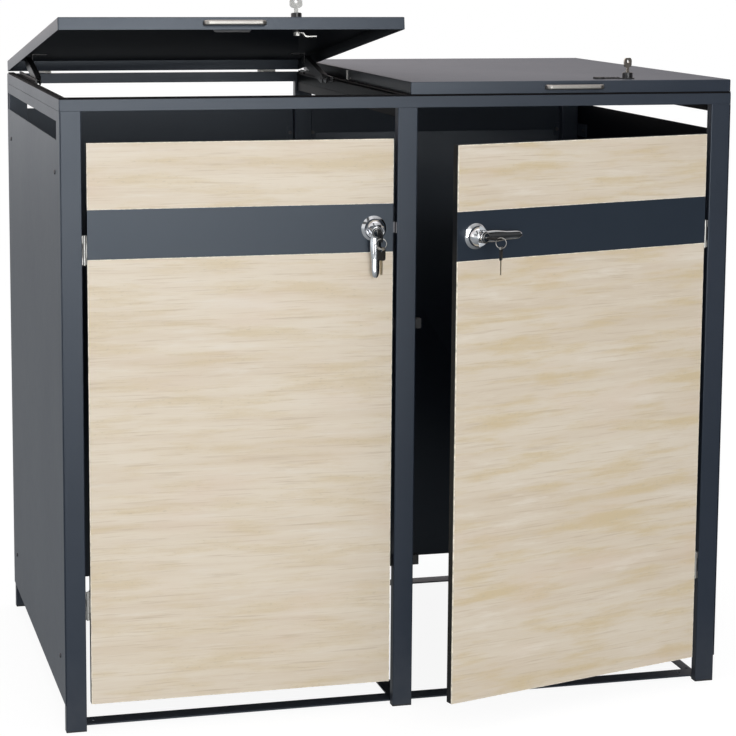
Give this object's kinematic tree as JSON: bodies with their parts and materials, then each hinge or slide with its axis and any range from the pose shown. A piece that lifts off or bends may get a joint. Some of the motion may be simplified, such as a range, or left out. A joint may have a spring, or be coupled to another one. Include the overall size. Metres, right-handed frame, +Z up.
{
  "type": "double wheelie bin store",
  "caption": "Steel-framed store for wheelie bins with lifting lids, swinging decor-board doors, vent slots, locks and open floor frame.",
  "frame": {"origin": "on the ground at the middle of the foot of the middle front post", "axes": "+X to the right seen from the front, +Y from the doors to the back, +Z up"},
  "size_m": [1.364, 1.1307, 1.4204],
  "materials": {
    "anthracite_paint": "satin powder coat",
    "black_plastic": "matt",
    "black_rubber": "matt",
    "black_steel": "satin",
    "zinc_steel": "zinc plated",
    "stainless_steel": "brushed",
    "black_lock_case": "satin",
    "chrome_handle": "polished",
    "key_set": "black plastic heads with metal blades and a wire ring",
    "oak_decor": "light oak decor board, level grain"
  },
  "bodies": {
    "cabinet": {"post_front_left": "anthracite_paint", "post_front_middle": "anthracite_paint", "post_front_right": "anthracite_paint", "posts_rear": "anthracite_paint", "foot_caps": "black_plastic", "sill_front": "anthracite_paint", "sill_rear": "anthracite_paint", "floor_bars": "anthracite_paint", "ring_rail_front": "anthracite_paint", "ring_rail_rear": "anthracite_paint", "ring_rails_side": "anthracite_paint", "ring_rail_middle": "anthracite_paint", "tie_rail_middle": "anthracite_paint", "side_panel_left": "anthracite_paint", "side_panel_right": "anthracite_paint", "rear_panels": "anthracite_paint", "panel_screws": "black_steel", "lid_hinge_leaves_fixed": "zinc_steel", "stay_tracks": "black_steel", "door_hinge_leaves_fixed": "zinc_steel", "door_stops": "black_rubber", "strike_plate_left": "zinc_steel", "ring_seals": "black_rubber"},
    "lid_left": {"lid_left": "anthracite_paint", "lid_left_hinge_leaves": "zinc_steel", "lid_left_stay_brackets": "black_steel", "lid_left_handle": "stainless_steel", "lid_left_lock_barrel": "black_lock_case", "lid_left_lock_cover": "black_rubber"},
    "lid_left_lock": {"lid_left_lock_cam": "zinc_steel", "lid_left_key": "stainless_steel"},
    "lid_left_stays": {"lid_left_stay_arms": "black_steel"},
    "lid_right": {"lid_right": "anthracite_paint", "lid_right_hinge_leaves": "zinc_steel", "lid_right_stay_brackets": "black_steel", "lid_right_handle": "stainless_steel", "lid_right_lock_barrel": "black_lock_case", "lid_right_lock_cover": "black_rubber", "lid_right_side_pad": "zinc_steel"},
    "lid_right_lock": {"lid_right_lock_cam": "zinc_steel", "lid_right_key": "stainless_steel"},
    "lid_right_stays": {"lid_right_stay_arms": "black_steel"},
    "door_left": {"door_left_tray": "anthracite_paint", "door_left_band": "anthracite_paint", "door_left_decor": "oak_decor", "door_left_hinge_leaves": "zinc_steel", "door_left_rose": "chrome_handle"},
    "door_left_handle": {"door_left_lever": "chrome_handle", "door_left_cam": "zinc_steel"},
    "door_left_key": {"door_left_key": "key_set"},
    "door_left_spare_key": {"door_left_spare_key": "key_set"},
    "door_right": {"door_right_tray": "anthracite_paint", "door_right_band": "anthracite_paint", "door_right_decor": "oak_decor", "door_right_hinge_leaves": "zinc_steel", "door_right_rose": "chrome_handle"},
    "door_right_handle": {"door_right_lever": "chrome_handle", "door_right_cam": "zinc_steel"},
    "door_right_key": {"door_right_key": "key_set"},
    "door_right_spare_key": {"door_right_spare_key": "key_set"}
  },
  "joints": [
    {"name": "lid_left_hinge", "type": "hinge", "parent": "cabinet", "child": "lid_left", "pos_m": [0, 0.8935, 1.234], "axis": [-1, 0, 0], "range_deg": [-8, 60]},
    {"name": "lid_right_hinge", "type": "hinge", "parent": "cabinet", "child": "lid_right", "pos_m": [0, 0.8935, 1.234], "axis": [-1, 0, 0], "range_deg": [0, 68]},
    {"name": "lid_left_stays_pivot", "type": "hinge", "parent": "lid_left", "child": "lid_left_stays", "pos_m": [0, 0.73153, 1.26548], "axis": [-1, 0, 0], "range_deg": [-120, 16]},
    {"name": "lid_right_stays_pivot", "type": "hinge", "parent": "lid_right", "child": "lid_right_stays", "pos_m": [0, 0.72873, 1.24264], "axis": [-1, 0, 0], "range_deg": [-136, 0]},
    {"name": "lid_left_lock_turn", "type": "hinge", "parent": "lid_left", "child": "lid_left_lock", "pos_m": [-0.2094, 0.05093, 1.37867], "axis": [0, -0.1392, -0.9903], "range_deg": [-90, 90]},
    {"name": "lid_right_lock_turn", "type": "hinge", "parent": "lid_right", "child": "lid_right_lock", "pos_m": [0.4748, 0.039, 1.26], "axis": [0, 0, -1], "range_deg": [-57, 123]},
    {"name": "door_left_hinge", "type": "hinge", "parent": "cabinet", "child": "door_left", "pos_m": [-0.63375, -0.0072, 0], "axis": [0, 0, -1], "range_deg": [0, 100]},
    {"name": "door_right_hinge", "type": "hinge", "parent": "cabinet", "child": "door_right", "pos_m": [0.63375, -0.0072, 0], "axis": [0, 0, 1], "range_deg": [-16, 84]},
    {"name": "door_left_handle_turn", "type": "hinge", "parent": "door_left", "child": "door_left_handle", "pos_m": [-0.068, -0.011, 0.975], "axis": [0, 1, 0], "range_deg": [0, 90]},
    {"name": "door_right_handle_turn", "type": "hinge", "parent": "door_right", "child": "door_right_handle", "pos_m": [0.09096, -0.16679, 0.975], "axis": [-0.2756, 0.9613, 0], "range_deg": [0, 90]},
    {"name": "door_left_key_turn", "type": "hinge", "parent": "door_left_handle", "child": "door_left_key", "pos_m": [-0.068, -0.019, 0.975], "axis": [0, -0.9781, -0.2079], "range_deg": [0, 90]},
    {"name": "door_right_key_turn", "type": "hinge", "parent": "door_right_handle", "child": "door_right_key", "pos_m": [0.09317, -0.17448, 0.975], "axis": [-0.4695, 0.8829, 0], "range_deg": [0, 90]},
    {"name": "door_left_spare_key_swing", "type": "hinge", "parent": "door_left_key", "child": "door_left_spare_key", "pos_m": [-0.068, -0.07035, 0.96158], "axis": [1, 0, 0], "range_deg": [-20, 20]},
    {"name": "door_right_spare_key_swing", "type": "hinge", "parent": "door_right_key", "child": "door_right_spare_key", "pos_m": [0.11782, -0.22084, 0.9779], "axis": [0.8746, -0.4848, 0], "range_deg": [-20, 20]}
  ],
  "couplings": [
    {"joint": "lid_left_stays_pivot", "follows": "lid_left_hinge", "ratio": -2},
    {"joint": "lid_right_stays_pivot", "follows": "lid_right_hinge", "ratio": -2}
  ]
}
